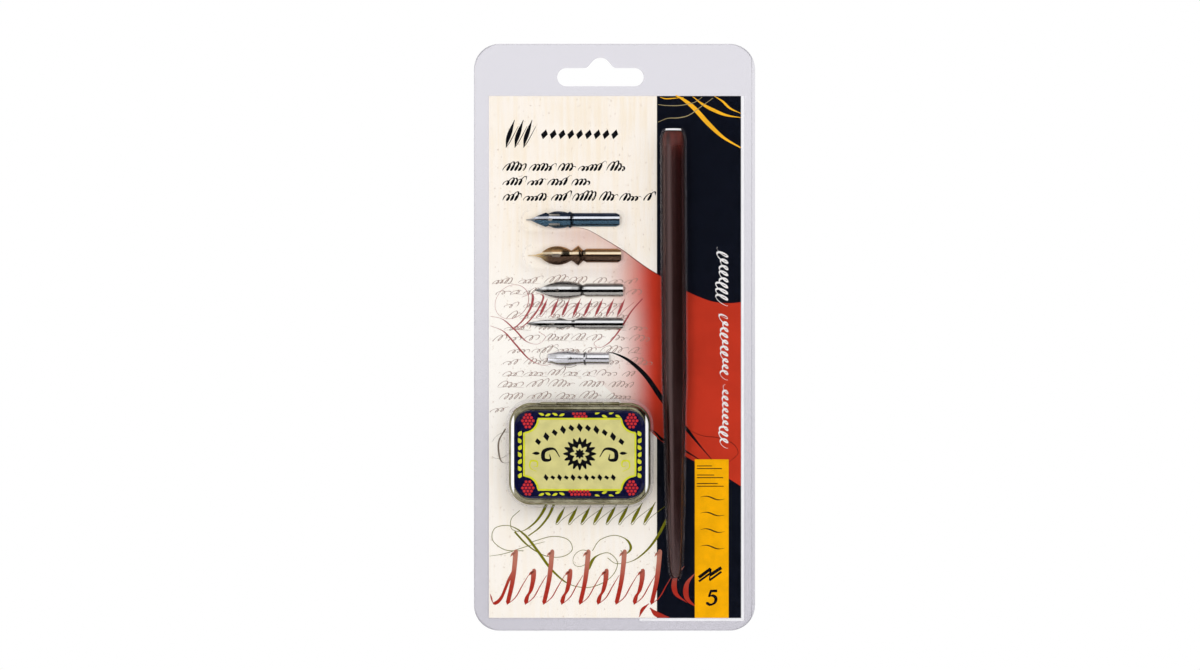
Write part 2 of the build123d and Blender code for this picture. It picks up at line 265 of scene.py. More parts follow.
def steelMaterial(name, settings):
    # drawn metal: fine streaks along X, and cloudy tarnish
    material, shader, start = newMaterial(name, {"Metallic": 1.0})
    spot = place(start)
    streak = noise(stretched(spot, (0.06, 1, 1)), settings["streakScale"], 4, 0.65)
    cloud = noise(spot, settings["cloudScale"], 4, 0.6)
    body = cloud.ease(0.3, 0.7).blend(settings["dark"], settings["light"])
    if "paintedReflectionAt" in settings:
        # painted reflection: white ends beside the card, standing in for the tin's walls mirroring the
        # paper
        away = abs(along(spot, 0) / mm - settings["middle"])
        ends = away.ease(settings["paintedReflectionAt"], settings["paintedReflectionAt"] + 0.5)
        ends = ends * (along(spot, 1) / mm).ease(-2.2, -1.4)
        body = ends.blend(body, (0.92, 0.92, 0.88))
        feed(shader, "Metallic", 1 - ends * 0.8)
    feed(shader, "Base Color", body)
    feed(shader, "Roughness", streak * 0.22 + settings["roughness"])
    bumped(shader, streak, 0.25, 0.00002)
    return material


def nibMaterial(node, settings):
    # a rolled nib with painted light and shade: one tone above its axis and another below, a painted
    # highlight band and a painted dark line along the fold between them, a dark waist, and a third tint at
    # the tip
    low, high = extent(node)
    material, shader, start = newMaterial(node + "_metal", {"Metallic": 1.0})
    spot = place(start)
    mottle = noise(spot, 700, 4, 0.65)
    streak = noise(stretched(spot, (0.06, 1, 1)), 2600, 4, 0.65)
    across = along(spot, 2) / mm - (low[2] + high[2]) / 2 + (mottle - 0.5) * 0.25
    far = (along(spot, 0) / mm - low[0]) / (high[0] - low[0])
    # painted light and shade: one tone above the axis and another below it
    shade = across.ease(-0.2, 0.1).blend(settings["lower"], settings["upper"])
    # painted highlight: a near-white band along the nib
    band = abs(across - settings["highlightAt"]).ease(settings["highlightHalf"] + 0.25, settings["highlightHalf"])
    # painted shade: a dark line along the fold
    fold = abs(across - settings["foldAt"]).ease(settings["foldHalf"] + 0.15, settings["foldHalf"])
    body = (band * settings["highlightShare"]).blend(shade, settings["band"])
    fold = fold * far.ease(settings["foldFrom"], settings["foldFrom"] + 0.12)
    body = fold.blend(body, settings["fold"])
    waist = abs(far - settings["waist"]).ease(0.024, 0.01) * abs(across).ease(0.3, 0.6) * 0.8
    body = waist.blend(body, settings["fold"])
    tinted = (far + (mottle - 0.5) * 0.1).ease(settings["tipLong"], 0.02).blend(body, settings["tip"])
    feed(shader, "Base Color", tinted)
    feed(shader, "Roughness", streak * 0.18 + 0.12)
    bumped(shader, streak, 0.2, 0.00002)
    return material


def woodMaterial(settings):
    # lacquered mahogany: pores and bands along the holder, brightest at its blunt end
    fixed = {"Coat Roughness": 0.12, "Specular IOR Level": 1.0, "Specular Tint": (1.0, 0.66, 0.63, 1)}
    material, shader, start = newMaterial("lacqueredMahogany", fixed)
    spot = place(start)
    band = noise(stretched(spot, (1, 1, 0.035)), settings["bandScale"], 4, 0.6)
    pore = noise(stretched(spot, (1, 1, 0.02)), settings["poreScale"], 3, 0.7)
    down = settings["nose"] - along(spot, 2) / mm
    shaft = down.ease(15, 75).blend(settings["upper"], settings["lower"])
    # redder and brighter towards the blunt end
    nearEnd = (down + (band - 0.5) * 6).ease(12, 1.5).blend(shaft, settings["end"])
    grain = band.ease(0.35, 0.7).blend(settings["grain"], nearEnd)
    dark = (pore.ease(0.55, 0.72) * 0.7).blend(grain, settings["pore"])
    feed(shader, "Base Color", dark)
    # the lacquer is duller on the blunt end and towards the silhouette
    nose = down.ease(6.5, 2)
    rim = start.node("ShaderNodeLayerWeight", None, {"Blend": 0.5}, "Facing").ease(0.3, 0.6)
    feed(shader, "Roughness", band * 0.12 + settings["roughness"] + nose.most(rim) * 0.5)
    feed(shader, "Coat Weight", (1 - nose.most(rim)) * 0.25)
    bumped(shader, pore, 0.08, 0.00005)
    return material


def clearMaterial(name, settings):
    # thin clear sheet: tinted see-through, with a gloss that grows towards its edges and painted shade that
    # greys it towards the foot of the pack
    material, shader, start = newMaterial(name, settings["fixed"])
    tree = material.node_tree
    spot = place(start)
    facing = start.node("ShaderNodeLayerWeight", None, {"Blend": 0.5}, "Facing")
    glow = facing.math("POWER", settings["power"]) * settings["edge"] + settings["face"]
    # painted shade: the sheet is greyer towards the foot of the pack
    low = along(spot, 2).ease(0.012, -0.207)
    share = glow + low * settings["paintedShadeDown"]
    if "recess" in settings:
        # the sheet is clearest where it lies flat behind the card
        left, right, foot, top = settings["recess"]
        x, z = along(spot, 0) / mm, along(spot, 2) / mm
        inside = x.ease(left, left + 0.3) * x.ease(right, right - 0.3)
        inside = inside * z.ease(foot, foot + 0.3) * z.ease(top, top - 0.3)
        share = share * (1 - inside * 0.85)
    tint = start.node("ShaderNodeBsdfTransparent", None, {"Color": (*settings["tint"], 1)})
    mixed = start.node(
        "ShaderNodeMixShader", None, {0: share, 1: tint, 2: Wire(tree, shader.outputs[0])}
    )
    tree.links.new(mixed.socket, tree.nodes["Material Output"].inputs["Surface"])
    bumped(shader, noise(spot, 45, 2, 0.5), settings["ripple"], 0.0004)
    return material


finishes = {
    "wood": woodMaterial({
        "nose": -20.6,
        "end": (0.13, 0.016, 0.009),
        "upper": (0.024, 0.003, 0.0028),
        "lower": (0.018, 0.006, 0.0055),
        "grain": (0.012, 0.0028, 0.0025),
        "pore": (0.006, 0.002, 0.002),
        "bandScale": 420,
        "poreScale": 2600,
        "roughness": 0.13,
    }),
    "steel": steelMaterial("plainSteel", {
        "dark": (0.2, 0.19, 0.17), "light": (0.42, 0.4, 0.36),
        "roughness": 0.2, "streakScale": 2500, "cloudScale": 260,
    }),
    "goldTin": steelMaterial("goldLacqueredTin", {
        "dark": (0.22, 0.19, 0.09), "light": (0.46, 0.43, 0.28),
        "roughness": 0.22, "streakScale": 900, "cloudScale": 150, "middle": -7.7, "paintedReflectionAt": 24.6,
    }),
    "blued": nibMaterial("nib_blued", {
        "upper": (0.03, 0.046, 0.085), "lower": (0.06, 0.115, 0.165), "tip": (0.2, 0.22, 0.26),
        "band": (0.9, 0.93, 1.0), "highlightAt": 0.75, "highlightHalf": 0.3, "highlightShare": 0.92,
        "fold": (0.004, 0.005, 0.01), "foldAt": 0.05, "foldHalf": 0.14, "tipLong": 0.12, "foldFrom": 0.0,
        "waist": 0.49,
    }),
    "bronze": nibMaterial("nib_bronze", {
        "upper": (0.44, 0.25, 0.11), "lower": (0.11, 0.065, 0.042), "tip": (0.85, 0.6, 0.26),
        "band": (1.0, 0.86, 0.62), "highlightAt": 0.85, "highlightHalf": 0.3, "highlightShare": 0.9,
        "fold": (0.02, 0.01, 0.008), "foldAt": 0.1, "foldHalf": 0.1, "tipLong": 0.24, "foldFrom": 0.0,
        "waist": 0.6,
    }),
    "plain": nibMaterial("nib_steel", {
        "upper": (0.34, 0.33, 0.31), "lower": (0.5, 0.48, 0.44), "tip": (0.1, 0.1, 0.1),
        "band": (0.95, 0.95, 0.94), "highlightAt": 0.75, "highlightHalf": 0.35, "highlightShare": 0.9,
        "fold": (0.004, 0.004, 0.004), "foldAt": -0.3, "foldHalf": 0.42, "tipLong": 0.1, "foldFrom": 0.0,
        "waist": 0.535,
    }),
    "slim": nibMaterial("nib_slim", {
        "upper": (0.3, 0.3, 0.29), "lower": (0.42, 0.41, 0.38), "tip": (0.12, 0.12, 0.12),
        "band": (0.95, 0.95, 0.95), "highlightAt": 0.6, "highlightHalf": 0.3, "highlightShare": 0.9,
        "fold": (0.004, 0.004, 0.004), "foldAt": -0.25, "foldHalf": 0.38, "tipLong": 0.1, "foldFrom": 0.0,
        "waist": 0.48,
    }),
    "pale": nibMaterial("nib_broad", {
        "upper": (0.72, 0.71, 0.74), "lower": (0.7, 0.69, 0.72), "tip": (0.97, 0.97, 1.0),
        "band": (0.98, 0.98, 1.0), "highlightAt": 0.7, "highlightHalf": 0.5, "highlightShare": 0.9,
        "fold": (0.01, 0.01, 0.012), "foldAt": -0.1, "foldHalf": 0.16, "tipLong": 0.4, "foldFrom": 0.58,
        "waist": 0.6,
    }),
    "front": clearMaterial("clearFront", {
        "fixed": {"Base Color": (0.56, 0.51, 0.55, 1), "Roughness": 0.15, "Specular IOR Level": 0.5},
        "tint": (0.99, 0.989, 0.993), "face": 0.0, "edge": 1.0, "power": 8.0, "paintedShadeDown": 0.0, "ripple": 0.02,
    }),
    "back": clearMaterial("clearBack", {
        "fixed": {"Base Color": (0.5, 0.485, 0.535, 1), "Roughness": 0.3, "Specular IOR Level": 0.2},
        "tint": (0.935, 0.928, 0.95), "face": 0.13, "edge": 0.3, "power": 4.0, "paintedShadeDown": 0.22, "ripple": 0.3,
        "recess": (-41.4, 52.2, -202.6, -7.4),
    }),
}
print("materials made")


# Meshes

def gridFaces(rows, columns, closed=False):
    # quads of a grid stored row by row, joined round the columns when closed
    first = np.arange(rows - 1)[:, None] * columns
    step = np.arange(columns if closed else columns - 1)[None, :]
    near, far = first + step, first + (step + 1) % columns
    return np.stack([near, far, far + columns, near + columns], -1).reshape(-1, 4)


def newPiece(name, points, faces, material, body, smooth=False):
    mesh = bpy.data.meshes.new(name)
    mesh.from_pydata(np.asarray(points, float).tolist(), [], [list(map(int, f)) for f in faces])
    mesh.polygons.foreach_set("use_smooth", np.full(len(mesh.polygons), smooth))
    mesh.materials.append(material)
    piece = bpy.data.objects.new(name, mesh)
    bpy.context.scene.collection.objects.link(piece)
    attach(piece, body)
    return piece


creaseAngle = 38


def smoothCopy(node, body, material):
    # the solid's own surface with its facets shaded smooth, creases over the angle kept
    mesh = nodes[node].data.copy()
    work = bpy.data.objects.new(node + "_surface", mesh)
    bpy.context.scene.collection.objects.link(work)
    weld = work.modifiers.new("weld", "WELD")
    weld.merge_threshold = 1e-6
    graph = bpy.context.evaluated_depsgraph_get()
    joined = bpy.data.meshes.new_from_object(work.evaluated_get(graph))
    work.modifiers.clear()
    work.data = joined
    joined.polygons.foreach_set("use_smooth", np.full(len(joined.polygons), True))
    joined.set_sharp_from_angle(angle=np.radians(creaseAngle))
    joined.materials.clear()
    joined.materials.append(material)
    even = work.modifiers.new("even", "WEIGHTED_NORMAL")
    even.keep_sharp = True
    even.weight = 100
    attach(work, body)
    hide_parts(node)
    return work


# Flat printing. A shape is (points, faces) in two dimensions.

def curve(controls, count=24):
    # Catmull-Rom: each span is the cubic whose end slopes are half the chord of its neighbours
    p = np.asarray(controls, float)
    p = np.vstack([2 * p[0] - p[1], p, 2 * p[-1] - p[-2]])
    t = np.linspace(0, 1, count, endpoint=False)[None, :, None]
    a, b, c, d = (p[i : len(p) - 3 + i, None, :] for i in range(4))
    bend, twist = 2 * a - 5 * b + 4 * c - d, 3 * b - a - 3 * c + d
    spans = 0.5 * (2 * b + (c - a) * t + bend * t**2 + twist * t**3)
    return np.vstack([spans.reshape(-1, p.shape[1]), p[-2]])


def stroke(line, half):
    # a band to both sides of a line: line plus and minus its unit normal times half the width
    slope = np.gradient(line, axis=0)
    slope /= np.maximum(np.linalg.norm(slope, axis=1, keepdims=True), 1e-9)
    side = np.stack([-slope[:, 1], slope[:, 0]], -1) * np.broadcast_to(half, len(line))[:, None]
    points = np.stack([line - side, line + side], 1).reshape(-1, 2)
    return points, gridFaces(len(line), 2)


def penned(line, broad, fine, angle):
    # a stroke of a pen held at an angle: half its width is fine plus broad times the sine of the
    # angle between the pen's edge and the line
    slope = np.gradient(line, axis=0)
    heading = np.arctan2(-slope[:, 1], slope[:, 0])
    half = fine + broad * np.abs(np.sin(heading - np.radians(angle)))
    run = np.linspace(0, 1, len(line))
    taper = np.clip(np.minimum(run, 1 - run) * 14, 0.15, 1)
    return stroke(line, half * taper)


def swelled(line, most, least):
    # a pointed nib's stroke: half its width is a sine hump along the line
    run = np.linspace(0, 1, len(line))
    return stroke(line, least + (most - least) * np.sin(np.pi * run) ** 1.6)


def swelledCurves(strokes, count=24):
    # each stroke is its line's points, its half width at the middle and that at the ends
    return [swelled(curve(controls, count), most, least) for controls, most, least in strokes]


def pressed(line, most, least):
    # a pointed nib's flourish: the pen is pressed where the line runs downwards
    slope = np.gradient(line, axis=0)
    slope /= np.maximum(np.linalg.norm(slope, axis=1, keepdims=True), 1e-9)
    press = np.clip(slope[:, 1] - 0.35, 0, 1) ** 1.3 * 1.6
    soft = np.convolve(np.pad(press, 6, mode="edge"), np.ones(13) / 13, mode="valid")
    return stroke(line, least + (most - least) * np.clip(soft, 0, 1))


def pressedCurves(strokes, least):
    # each stroke is its line's points and its half width where the pen is pressed
    return [pressed(curve(controls), most, least) for controls, most in strokes]


def outlined(x, y):
    # a filled outline as one face
    points = np.stack([x, y], -1)
    return points, [np.arange(len(points))]


def rosette(x, y, radius, petals, depth=0.18, turn=0.0):
    # a filled outline whose radius waves with the angle
    angle = np.linspace(0, 2 * np.pi, 10 * max(petals, 4), endpoint=False)
    reach = radius * (1 - depth + depth * np.cos(petals * angle + turn))
    return outlined(x + reach * np.cos(angle), y + reach * np.sin(angle))


def leaf(x, y, length, width, turn):
    # a pointed leaf: its half width is a sine hump along it
    run = np.linspace(0, 1, 12)
    half = width / 2 * np.sin(np.pi * run**0.8)
    px = np.concatenate([run * length, run[-2:0:-1] * length])
    py = np.concatenate([half, -half[-2:0:-1]])
    c, s = np.cos(turn), np.sin(turn)
    return outlined(x + px * c - py * s, y + px * s + py * c)


def lozenge(x, y, width, height, lean):
    # a diamond whose top and foot are pushed apart sideways
    return outlined(
        np.array([x - width / 2, x - lean, x + width / 2, x + lean]),
        np.array([y, y + height / 2, y, y - height / 2]),
    )


def ring(x, y, across, high, lean, start, turns):
    # a slanted oval drawn from an angle through a number of turns
    angle = start + np.linspace(0, 2 * np.pi * turns, int(60 * abs(turns)) + 2)
    return np.stack([x + across * np.cos(angle) - lean * np.sin(angle), y + high * np.sin(angle)], -1)


def roundedOutline(width, height, corner, count):
    # a rounded rectangle about the origin, counter-clockwise
    quarter = np.linspace(0, np.pi / 2, count)
    x, y = width / 2 - corner, height / 2 - corner
    parts = []
    for i, (cx, cy) in enumerate([(x, y), (-x, y), (-x, -y), (x, -y)]):
        angle = quarter + i * np.pi / 2
        parts.append(np.stack([cx + corner * np.cos(angle), cy + corner * np.sin(angle)], -1))
    return np.vstack(parts)


def merged(shapes, up):
    # one list of points and faces, every face counter-clockwise; up is -1 where y runs down
    points, faces, start = [], [], 0
    for somePoints, someFaces in shapes:
        for face in someFaces:
            x, y = somePoints[face, 0], somePoints[face, 1] * up
            area = np.sum(x * np.roll(y, -1) - y * np.roll(x, -1))
            order = list(np.asarray(face) + start)
            faces.append(order if area > 0 else order[::-1])
        points.append(somePoints)
        start += len(somePoints)
    return np.vstack(points), faces


cardLow, cardHigh = extent("insert_card")
card = {
    "left": cardLow[0], "top": cardHigh[2], "front": cardLow[1], "ink": 0.01,
    "width": cardHigh[0] - cardLow[0], "height": cardHigh[2] - cardLow[2],
}


def onCard(points, layer):
    # card places to metres, each layer one ink's thickness further out, and later strokes
    # of a layer a little above earlier ones
    x = (card["left"] + points[:, 0]) * mm
    z = (card["top"] - points[:, 1]) * mm
    y = (card["front"] - card["ink"] * (layer + np.linspace(0, 0.8, len(points)))) * mm
    return np.stack([x, y, z], -1)


def printed(name, shapes, material, layer):
    points, faces = merged(shapes, -1)
    return newPiece("print_" + name, onCard(points, layer), faces, material, "pack")


def box(x0, y0, x1, y1):
    # a rectangle between two corners
    return np.array([[x0, y0], [x0, y1], [x1, y1], [x1, y0]]), [[0, 1, 2, 3]]


# Grounds of the card: navy strip, red sweep and yellow panel

strip = {"x": 63.0}
printed("navy_strip", [box(strip["x"], 0, card["width"], card["height"])], inkOf["navy"], 1)

sweep = {
    "upper": [(17, 49.0), (24, 48.8), (31.5, 49.2), (37, 50.2), (43.5, 53.8), (50.2, 57.9), (54.9, 61.4),
              (59.6, 64.7), (64.3, 67.5), (73.6, 72.9), (80.3, 75.9), (85, 77.3), (90.4, 77.7),
              (94.5, 77.3)],
    "lower": [(17, 96), (26, 97), (35.3, 101.8), (48, 113.3), (57, 121.8), (63.5, 128.5), (73.5, 135),
              (80, 138.6), (88, 142.4), (94.5, 146.4)],
    "high": (39.5, 62.5),
    "low": (44.0, 63.0),
    "later": (68, 90),
    "blushes": [
        {"across": (12, 42), "down": (70, 52), "share": 0.28},
        {"across": (33, 47), "down": (92, 110), "share": 0.16},
        {"across": (17, 33), "down": (88, 70), "share": 0.03},
    ],
    "rows": 24,
    "columns": 160,
    "rimFrom": 30,
    "rimAt": [30, 55, 64, 80, 94],
    "rimHalf": [0.03, 0.16, 0.14, 0.05, 0.03],
}


def sweepShare(spot, settings):
    # a smooth step to full red, which starts later further down, and paler blushes before it
    across = along(spot, 0) / mm - card["left"]
    down = card["top"] - along(spot, 2) / mm
    high, low = across.ease(*settings["high"]), across.ease(*settings["low"])
    full = high + (low - high) * down.ease(*settings["later"])
    blush = full * 0.6
    for patch in settings["blushes"]:
        blush = blush + across.ease(*patch["across"]) * down.ease(*patch["down"]) * patch["share"]
    return full.most(blush)


def sweepPiece(settings):
    # columns of points between an upper and a lower edge, both smooth in x, and a dark line
    # along the upper edge
    x = np.linspace(settings["upper"][0][0], card["width"], settings["columns"])
    upper = curve(settings["upper"])
    lower = curve(settings["lower"])
    top = np.interp(x, upper[:, 0], upper[:, 1])
    foot = np.interp(x, lower[:, 0], lower[:, 1])
    down = np.linspace(0, 1, settings["rows"])[:, None]
    y = top + (foot - top) * down
    points = np.stack([np.broadcast_to(x, y.shape), y], -1).reshape(-1, 2)
    material, shader, start = newMaterial("ink_redSweep", inkFilm["fixed"])
    spot = place(start)
    uneven = noise(spot, 60, 4, 0.6)
    hue = uneven.ease(0.35, 0.65).blend(shaded(inks["red"], 0.12), inks["red"])
    feed(shader, "Base Color", sweepShare(spot, settings).blend(paperGround(spot, paper), hue))
    inkGloss(shader, uneven)
    printed("red_sweep", [(points, gridFaces(settings["rows"], settings["columns"]))], material, 2)
    rim = upper[upper[:, 0] > settings["rimFrom"]]
    half = np.interp(rim[:, 0], settings["rimAt"], settings["rimHalf"])
    printed("sweep_rim", [stroke(rim, half)], inkOf["darkRed"], 3)


sweepPiece(sweep)
blackSweeps = [
    ([(44.4, 96.0), (48, 96.9), (53, 99.6), (59, 105.2), (64.9, 113.6), (70, 120), (75, 126), (79, 131),
      (83.6, 136.4)], 0.95, 0.12),
    ([(59.6, 124.6), (62.4, 126.2), (65, 128.8), (70, 131), (75.4, 134.2), (80.6, 137.4)], 0.55, 0.1),
    ([(73.5, 124.5), (80, 127.4), (86, 128.2), (91.5, 130.4), (93.4, 134), (90.2, 137.2)], 0.1, 0.05),
]
printed("black_sweeps", swelledCurves(blackSweeps), inkOf["black"], 5)

panel = {
    "x0": 77.2, "x1": 89.9, "y0": 136.3,
    "waves": (150.8, 156.8, 163.0, 169.2), "waveX": 83.85, "waveHalf": 4.5, "swell": 0.5, "slope": 0.35,
    "prongs": [
        ([(78.7, 180.6), (83.2, 177.3), (82.9, 179.7), (87.2, 176.9)], 0.6),
        ([(78.7, 182.1), (83.0, 179.0), (82.7, 181.7), (87.2, 178.4)], 0.38),
    ],
    "bowl": [(83.0, 187.7), (83.9, 187.4), (84.9, 188.0), (85.1, 189.1), (84.5, 190.2), (83.2, 190.8),
             (82.2, 190.5), (81.5, 189.8)],
    "stem": [(83.3, 185.5), (82.5, 187.9)],
    "flag": [(83.0, 185.7), (85.6, 185.6)],
    "ruleX": 78.0, "ruleHigh": 0.32,
    "rules": [(138.6, 5.6), (139.6, 9.4), (142.0, 6.4), (143.0, 9.8), (145.2, 7.8), (146.2, 10.0)],
}
printed("yellow_panel", [box(panel["x0"], panel["y0"], panel["x1"], card["height"])], inkOf["yellow"], 7)


def panelMarks(settings):
    # four small waves, the zigzag of a two-pronged nib, and a figure five
    shapes = []
    t = np.linspace(-1, 1, 40)
    across = settings["waveX"] + settings["waveHalf"] * t
    for y in settings["waves"]:
        wave = y + settings["swell"] * np.sin(np.pi * t) + settings["slope"] * t
        shapes.append(swelled(np.stack([across, wave], -1), 0.24, 0.05))
    for corners, half in settings["prongs"]:
        for ends, share in zip(zip(corners, corners[1:]), (1, 0.6, 1)):
            shapes.append(stroke(np.array(ends), half * share))
    shapes.append(penned(curve(settings["bowl"]), 0.24, 0.36, 20))
    shapes.append(stroke(np.array(settings["stem"]), 0.42))
    shapes.append(stroke(np.array(settings["flag"]), 0.5))
    return shapes


def panelRules(settings):
    # plain rules of unlike lengths from one left edge
    x, high = settings["ruleX"], settings["ruleHigh"]
    return [box(x, y, x + wide, y + high) for y, wide in settings["rules"]]


printed("panel_marks", panelMarks(panel), inkOf["black"], 8)
printed("panel_rules", panelRules(panel), inkOf["black"], 8)

goldStrokes = [
    ([(70, -0.2), (73, 1.4), (77, 4.6), (82.5, 10.6), (88, 15.6), (94.4, 19.4)], 0.85, 0.25),
    ([(76.4, 0.2), (80, 3.0), (84, 5.2), (89, 7.2), (94.4, 8.1)], 0.62, 0.12),
    ([(84.6, 0.1), (87.6, 2.0), (90.4, 4.6), (94.4, 6.5)], 0.42, 0.1),
    ([(64.2, 0.4), (66, 1.0), (69, 0.9), (73, 0.5)], 0.2, 0.08),
]
goldHairs = [
    ([(63.4, 9.8), (67, 8.4), (71, 8.2), (75, 7.2), (79, 4.4), (84, 0.8)], 0.16, 0.09),
    ([(63.4, 3.2), (67, 3.6), (72, 3.5), (77, 2.4), (80, 0.4)], 0.14, 0.08),
]
printed("gold_strokes", swelledCurves(goldStrokes), inkOf["gold"], 2)
printed("gold_hairs", swelledCurves(goldHairs), inkOf["paleGold"], 3)
print("card grounds printed")


# Pen work on the card: drills, rows of loops, ovals and flourishes

rng = np.random.default_rng(11)


def loopRow(x, y, length, height, pitch, slant):
    # a running loop: x moves on while the pen turns, and its height drifts
    turns = length / pitch
    t = np.linspace(0, turns, int(16 * turns) + 2)
    tall = np.interp(t, np.arange(int(turns) + 2), rng.choice([0.5, 0.55, 0.6, 1.05, 1.3], int(turns) + 2))
    up = height * tall * (0.5 - 0.5 * np.cos(2 * np.pi * t))
    across = x + pitch * t - 0.4 * pitch * np.sin(2 * np.pi * t) + slant * up
    return np.stack([across, y - up], -1)


rows = {
    "left": 0.4, "right": 53.0, "top": 70.0, "pitch": 4.35, "count": 12, "height": 2.3,
    "indent": 7, "lengths": (3.0, 9), "loops": (1.5, 2.3), "gaps": (1.4, 3.4), "middle": 30,
}


def handRows(settings):
    # rows of short groups of loops, each row sagging a little towards its ends
    shapes = []
    for i in range(settings["count"]):
        x = settings["left"] + rng.uniform(0, settings["indent"])
        y = settings["top"] + settings["pitch"] * i + rng.uniform(-0.3, 0.3)
        while x < settings["right"]:
            length = rng.uniform(*settings["lengths"])
            line = loopRow(x, y, length, settings["height"], rng.uniform(*settings["loops"]), 0.9)
            line[:, 1] += 0.0006 * (line[:, 0] - settings["middle"]) ** 2 + 0.12 * np.sin(line[:, 0])
            shapes.append(penned(line, 0.13, 0.045, 20))
            if rng.random() < 0.35:
                dash = np.array([[x, y + 0.4], [x + length / 2, y + 0.1], [x + length + 1.5, y + 0.5]])
                shapes.append(swelled(curve(dash, 8), 0.07, 0.03))
            x += length + rng.uniform(*settings["gaps"])
    return shapes


printed("brown_rows", handRows(rows), inkOf["brown"], 3)

drill = {"x": 19.0, "foot": 82.6, "head": 76.0, "pitch": 4.15, "count": 8, "lean": 3.0}


def slantedDrill(settings, most, hair, grow=0.0):
    # a copperplate drill: even slanted strokes, each foot joined to the next head by a hairline
    strokes, links = [], []
    foot, pitch = settings["foot"], settings["pitch"]
    for i in range(settings["count"]):
        x, head = settings["x"] + pitch * i, settings["head"] - grow * i
        tall = foot - head
        lean = settings["lean"] * tall / (foot - settings["head"])
        strokes.append(([(x + lean, head), (x + 0.62 * lean, head + 0.38 * tall),
                         (x + 0.2 * lean, foot - 0.2 * tall), (x, foot)], most, hair))
        links.append(([(x, foot - 0.1), (x + 0.7, foot + 0.15), (x + 0.5 * pitch + 0.4, foot - 0.3 * tall),
                       (x + pitch + 0.75 * lean, head + 0.2 * tall)], hair, hair * 0.8))
    return swelledCurves(strokes + links, 10)


maroonFlourishes = [
    ([(12.4, 75.4), (16.2, 74.4), (15.8, 79.0), (12.6, 84.2), (9.4, 87.2)], 0.5),
    ([(17.6, 73.8), (20.4, 75.4), (17.8, 81.0), (14.4, 85.0), (11.0, 87.6)], 0.42),
    ([(57.6, 76.0), (53.4, 80.8), (49.4, 87.2), (45.2, 92.4), (41.4, 94.4), (39.4, 92.8),
      (41.6, 91.0)], 0.42),
    ([(0.6, 82.6), (5.2, 83.8), (9.8, 87.8), (14.0, 92.0), (18.4, 93.0), (21.2, 90.4),
      (18.6, 88.4)], 0.5),
    ([(0.6, 86.2), (5.6, 88.4), (10.0, 93.2), (15.0, 98.6), (20.4, 101.0), (26.2, 99.6)], 0.52),
]
maroonWork = slantedDrill(drill, 0.52, 0.08) + pressedCurves(maroonFlourishes, 0.06)
maroonWork.append(pressed(ring(8.6, 77.2, 6.2, 6.4, 1.2, 2.4, 1.12), 0.12, 0.05))
printed("maroon_flourish", maroonWork, inkOf["maroon"], 4)
ovals = [
    (22.6, 96.8, 3.4, 2.8, 1.0, 0.4, 1.3),
    (31.0, 98.6, 3.8, 3.2, 1.0, 2.4, 1.2),
    (5.0, 131.0, 4.4, 5.0, 1.6, 3.4, 0.8),
]
brownHook = ([(6.2, 124.8), (3.6, 130.0), (4.4, 136.6), (7.4, 137.4), (10.2, 134.0)], 0.34)
brownWork = [swelled(ring(*oval), 0.09, 0.04) for oval in ovals] + pressedCurves([brownHook], 0.06)
printed("brown_rings", brownWork, inkOf["hair"], 4)

oliveDrill = {"x": 25.0, "foot": 160.6, "head": 154.0, "pitch": 4.7, "count": 8, "lean": 3.6}
oliveStems = [
    ([(21.6, 153.2), (19.6, 157.0), (16.6, 160.6), (12.4, 163.2), (8.6, 162.4), (8.4, 158.6),
      (11.6, 155.4)], 0.7),
    ([(24.4, 153.2), (22.2, 157.8), (18.8, 162.0), (14.8, 165.0)], 0.6),
    ([(69.0, 155.6), (66.4, 159.4), (63.6, 164.6), (59.6, 170.0), (54.2, 174.2), (48.0, 175.4),
      (44.4, 173.2)], 0.66),
]
oliveCurls = [
    ([(13.0, 170.6), (6.0, 170.2), (1.4, 166.6), (2.2, 162.2), (7.6, 161.2), (13.2, 164.4), (18.4, 170.8),
      (23.8, 178.0), (30.4, 183.2), (38.4, 184.2), (45.6, 180.6), (48.2, 175.2), (44.8, 171.4),
      (39.8, 173.0), (37.2, 177.4)], 0.75),
    ([(9.6, 163.4), (14.6, 168.6), (21.0, 172.4), (27.4, 172.8), (31.2, 170.2), (29.6, 166.4),
      (23.8, 165.2), (16.2, 167.2)], 0.6),
    ([(38.8, 170.6), (41.6, 166.6), (47.0, 164.8), (51.6, 166.4), (53.2, 169.6), (51.2, 171.8),
      (49.4, 170.4)], 0.55),
]
oliveHair = ([(0.2, 172.6), (6.0, 171.6), (14.0, 169.0), (21.0, 167.2)], 0.12, 0.07)
oliveWork = slantedDrill(oliveDrill, 0.62, 0.1, 0.25)
oliveWork += pressedCurves(oliveStems, 0.11) + pressedCurves(oliveCurls, 0.12)
oliveWork += [swelled(ring(34.6, 173.4, 3.0, 3.1, 0.8, 1.2, 1.35), 0.1, 0.07)] + swelledCurves([oliveHair])
printed("olive_flourish", oliveWork, inkOf["olive"], 5)

gothic = {
    "foot": 190.4, "half": 1.05, "angle": 38, "heads": (171.0, 178.2), "fade": (171, 186),
    "places": (8.2, 15.0, 21.8, 28.6, 35.4, 42.2, 49.0, 55.8, 62.2),
    "crescents": [
        ([(73.2, 176.4), (69.8, 181.0), (70.0, 186.4), (74.2, 190.0)], 1.0, 0.1),
        ([(77.6, 178.6), (74.2, 183.2), (74.4, 188.6), (78.6, 192.2)], 1.0, 0.1),
    ],
    "tail": [(0.4, 186.6), (1.8, 190.2), (4.6, 188.2), (7.4, 181.6), (10.4, 176.2)],
    "drops": [
        ([(56.4, 195.4), (57.6, 192.6), (60.0, 190.4)], 0.6, 0.12),
        ([(60.4, 192.0), (63.0, 194.4), (67.6, 195.6)], 1.0, 0.2),
    ],
}


